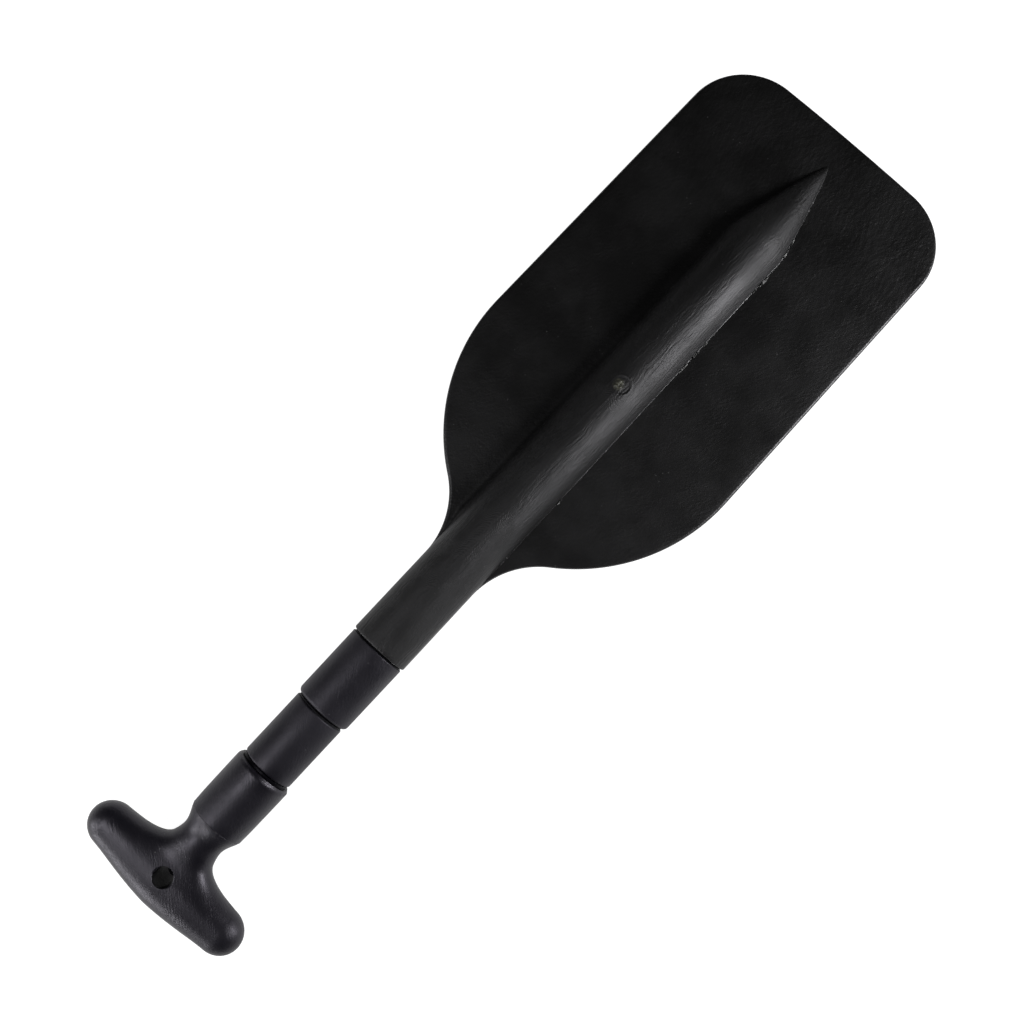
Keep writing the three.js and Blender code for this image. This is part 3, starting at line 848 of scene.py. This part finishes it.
def hand_plastic(name, low, high, rough, turn, depth, noses, paint_hole_shade=False):
    """Blue-black moulded plastic with fine slanted polishing marks and a parting line round its middle.

    The narrower noses and the wall of the lanyard hole carry painted shade: they are painted near-black and
    hardly shine, standing in for the shade in the joints and in the hole.
    """
    made, n, shader, position = new_material(name, rough, level=0.42, tint=(0.92, 0.88, 1.0))
    warped = n.warped(position, 90.0, 0.002)
    slanted = n.scaled(warped, (0.12, 1.0, 1.0), turn)
    streaks = use(n, STREAKS, Position=slanted, Scale=1300.0, Depth=1.2)["Height"]
    grain = use(n, GRAIN, Position=position, Scale=1700.0, Depth=0.7)
    seam = n.times(near_plane(n, position, "Z", AXIS_Z, 0.22), 1.4)
    bump(n, shader, n.add(n.add(streaks, grain["Height"]), seam), depth)
    wear = use(n, WEAR, Position=position, Specks=0.4, Edges=0.5)
    black = mix_colours(n, grain["Patches"], low, high)
    worn = mix_colours(n, wear["Edges"], black, (0.06, 0.06, 0.065, 1))
    dusty = mix_colours(n, wear["Specks"], worn, (0.16, 0.16, 0.165, 1))
    n.put(shader.inputs["Roughness"], n.span(grain["Patches"], 0.3, 0.7, rough - 0.05, rough + 0.07))
    # Painted shade: near-black colour and almost no shine on the lanyard hole's wall and on the noses in the
    # joints, where shade falls.
    painted_shade = 0.0
    if paint_hole_shade:
        painted_shade = in_circle(n, position, LANYARD_HOLE_X - 0.35, 0, LANYARD_HOLE_RADIUS - 0.3)
    parts = n.node("ShaderNodeSeparateXYZ", Vector=position)
    for shoulder, end in noses:
        start = shoulder - 0.05
        off = n.math("ABSOLUTE", n.math("SUBTRACT", parts.outputs["X"], (start + end) / 2 * MM))
        half = (end - start) / 2 * MM
        painted_shade = n.math("MAXIMUM", painted_shade, n.span(off, half + 0.1 * MM, half - 0.1 * MM, 0.0, 0.75))
    n.put(shader.inputs["Base Color"], mix_colours(n, painted_shade, dusty, (0.002, 0.002, 0.0025, 1)))
    n.put(shader.inputs["Specular IOR Level"], n.span(painted_shade, 0, 1, 0.42, 0.01))
    return made


def flash_plastic():
    """Thin torn plastic, paler where it is stretched."""
    made, n, shader, position = new_material("flash_plastic", 0.42)
    grain = use(n, GRAIN, Position=position, Scale=2600.0, Depth=1.0)
    pale = n.span(n.noise(position, 420.0, 2.0), 0.46, 0.66)
    n.put(shader.inputs["Base Color"], mix_colours(n, pale, (0.004, 0.004, 0.004, 1), (0.26, 0.26, 0.26, 1)))
    bump(n, shader, grain["Height"], 0.08)
    return made


def drawn_aluminium():
    """Clear anodised tube with draw lines along it and a few rub marks round it."""
    made, n, shader, position = new_material("drawn_aluminium", 0.3, metallic=1.0)
    along = n.scaled(position, (0.03, 1.0, 1.0))
    streaks = use(n, STREAKS, Position=along, Scale=1800.0, Depth=1.0)["Height"]
    around = n.scaled(position, (1.0, 0.12, 0.12))
    rubs = use(n, STREAKS, Position=around, Scale=700.0, Depth=0.5)["Height"]
    bump(n, shader, n.add(streaks, rubs), 0.02)
    cloud = n.noise(n.scaled(position, (0.3, 1.0, 1.0)), 60.0, 3.0)
    n.put(shader.inputs["Base Color"], mix_colours(n, cloud, (0.50, 0.51, 0.53, 1), (0.62, 0.63, 0.65, 1)))
    n.put(shader.inputs["Roughness"], n.span(n.add(cloud, streaks), 0.3, 0.8, 0.26, 0.4))
    return made


def plain_plastic(name, low, high, rough):
    """Moulded plastic of the hidden lock pieces."""
    made, n, shader, position = new_material(name, rough)
    grain = use(n, GRAIN, Position=position, Scale=1400.0, Depth=1.0)
    n.put(shader.inputs["Base Color"], mix_colours(n, grain["Patches"], low, high))
    bump(n, shader, grain["Height"], 0.05)
    return made


def turned_steel():
    made, n, shader, position = new_material("turned_steel", 0.28, metallic=1.0)
    streaks = use(n, STREAKS, Position=n.scaled(position, (1.0, 0.1, 0.1)), Scale=2200.0, Depth=1.0)["Height"]
    bump(n, shader, streaks, 0.02)
    cloud = n.noise(position, 300.0)
    n.put(shader.inputs["Base Color"], mix_colours(n, cloud, (0.45, 0.45, 0.46, 1), (0.58, 0.58, 0.59, 1)))
    return made


# ---- The pieces ----------------------------------------------------------------------------------

BLADE = blade_plastic()
GRIP = hand_plastic("grip_plastic", (0.0036, 0.0033, 0.0052, 1), (0.0052, 0.0048, 0.0074, 1), 0.41,
                    (0, 0, 0.9), 0.16, [(GRIP_MOUTH_X - GRIP_NOSE, GRIP_MOUTH_X + 1)], paint_hole_shade=True)
COLLAR = hand_plastic("collar_plastic", (0.0034, 0.0032, 0.0050, 1), (0.0048, 0.0045, 0.0070, 1), 0.5,
                      (0, 0, 0.6), 0.14, [(collar_nose("outer"), box_mm("outer_collar")[1].x + 1),
                                          (collar_nose("middle"), box_mm("middle_collar")[1].x + 1)])
FLASH = flash_plastic()
ALUMINIUM = drawn_aluminium()
CAM_BLACK = plain_plastic("cam_plastic", (0.012, 0.012, 0.012, 1), (0.02, 0.02, 0.02, 1), 0.5)
NYLON = plain_plastic("ring_nylon", (0.58, 0.55, 0.46, 1), (0.68, 0.65, 0.56, 1), 0.45)
STEEL = turned_steel()

build_blade(BLADE)
build_flash(BLADE, FLASH)
build_grip(GRIP)
build_collar("outer", "middle", 14.75, 14.95, 2.2, 0.5, COLLAR)
build_collar("middle", "inner", 13.45, 13.55, 1, 0.8, COLLAR)
for stage, body in (("outer", "outer_section"), ("middle", "middle_section"), ("inner", "handle")):
    build_tube(stage, body, ALUMINIUM)

LOCK_FINISH = {"cam_plug": CAM_BLACK, "lock_ring": NYLON, "lock_washer": STEEL, "lock_screw": STEEL}
for name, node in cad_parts.items():
    for ending, material in LOCK_FINISH.items():
        if name.endswith(ending):
            node.data.materials.clear()
            node.data.materials.append(material)


# ---- Stage, light and camera ---------------------------------------------------------------------


STAGE_GREY = (0.3, 0.3, 0.3, 1)


def sheet(name, corners, faces, strength, seen_by_camera):
    """A white sheet of the stage that gives light, either to the camera's eye or onto the paddle."""
    mesh = bpy.data.meshes.new(name)
    mesh.from_pydata(corners, [], faces)
    made = bpy.data.objects.new(name, mesh)
    bpy.context.scene.collection.objects.link(made)
    made.visible_camera = seen_by_camera
    made.visible_glossy = not seen_by_camera
    made.visible_diffuse = not seen_by_camera
    made.visible_shadow = False
    material, n, shader, position = new_material(name, 0.9, level=0.0)
    shader.inputs["Base Color"].default_value = STAGE_GREY
    shader.inputs["Emission Color"].default_value = (1, 1, 1, 1)
    shader.inputs["Emission Strength"].default_value = strength
    mesh.materials.append(material)
    return n, shader, position


def build_floor():
    """A wide pale floor with a far wall. The spot below the lanyard hole is painted dark, a painted shadow of
    the grip.
    """
    half = 12.0  # metres
    seen_glow = 0.97
    square = [(-half, -half), (half, -half), (half, half), (-half, half)]
    seen = [(x, y, -0.2 * MM) for x, y in square]
    n, shader, position = sheet("floor", seen, [(0, 1, 2, 3)], seen_glow, True)
    # Painted shadow: the floor seen through the lanyard hole is painted dark and does not glow there.
    painted_shadow = in_circle(n, position, LANYARD_HOLE_X - 4.4, 0, 3.9, 0.5)
    n.put(shader.inputs["Base Color"], mix_colours(n, painted_shadow, STAGE_GREY, (0.004, 0.004, 0.005, 1)))
    n.put(shader.inputs["Emission Strength"], n.span(painted_shadow, 0, 1, seen_glow, 0.0))
    wall = [(x, y, z) for z in (-0.01, half) for x, y in square]
    sides_and_top = [(0, 1, 5, 4), (1, 2, 6, 5), (2, 3, 7, 6), (3, 0, 4, 7), (4, 5, 6, 7)]
    sheet("far_wall", wall, sides_and_top, seen_glow, True)
    sheet("floor_glow", [(x, y, -0.3 * MM) for x, y in square], [(0, 1, 2, 3)], 0.72, False)


def soft_box(name, place, target, size, power):
    """A rectangular lamp that faces its target, in metres and watts."""
    light = bpy.data.lights.new(name, "AREA")
    light.shape = "RECTANGLE"
    light.size, light.size_y = size
    light.energy = power
    lamp = bpy.data.objects.new(name, light)
    lamp.location = place
    lamp.rotation_euler = (Vector(target) - Vector(place)).to_track_quat("-Z", "Y").to_euler()
    bpy.context.scene.collection.objects.link(lamp)


def build_light():
    soft_box("handle_soft_box", (-0.53, 0.32, 0.88), (-0.19, 0, 0), (0.30, 0.22), 3.9)
    soft_box("blade_soft_box", (0.456, -0.671, 0.415), (0.12, 0, 0), (0.28, 0.28), 9.5)
    soft_box("end_soft_box", (-0.895, 0.10, 0.185), (-0.23, 0, 0), (0.26, 0.18), 2.0)
    soft_box("side_soft_box", (-0.704, 0.423, 0.239), (-0.2, 0, 0), (0.26, 0.18), 2.2)
    world = bpy.data.worlds.new("studio")
    world.use_nodes = True
    background = world.node_tree.nodes["Background"]
    background.inputs["Color"].default_value = (1, 1, 1, 1)
    background.inputs["Strength"].default_value = 0.011
    bpy.context.scene.world = world


def build_camera():
    """Looks down on the paddle from above, with the shaft running up to the right."""
    data = bpy.data.cameras.new("camera")
    data.sensor_width = 36
    data.lens = 35.79
    camera = bpy.data.objects.new("camera", data)
    aim = Vector((-5.95, -2.07, AXIS_Z)) * MM
    turn = Matrix.Rotation(math.radians(47.02), 4, "Z")
    tilt = Matrix.Rotation(math.radians(6.50), 4, "Y")
    bank = Matrix.Rotation(math.radians(-4.33), 4, "X")
    distance = Matrix.Translation((0, 0, 0.4954))
    camera.matrix_world = Matrix.Translation(aim) @ (turn @ tilt @ bank).inverted() @ distance
    bpy.context.scene.collection.objects.link(camera)
    bpy.context.scene.camera = camera


build_floor()
build_light()
build_camera()
bpy.context.scene.view_settings.view_transform = "Standard"
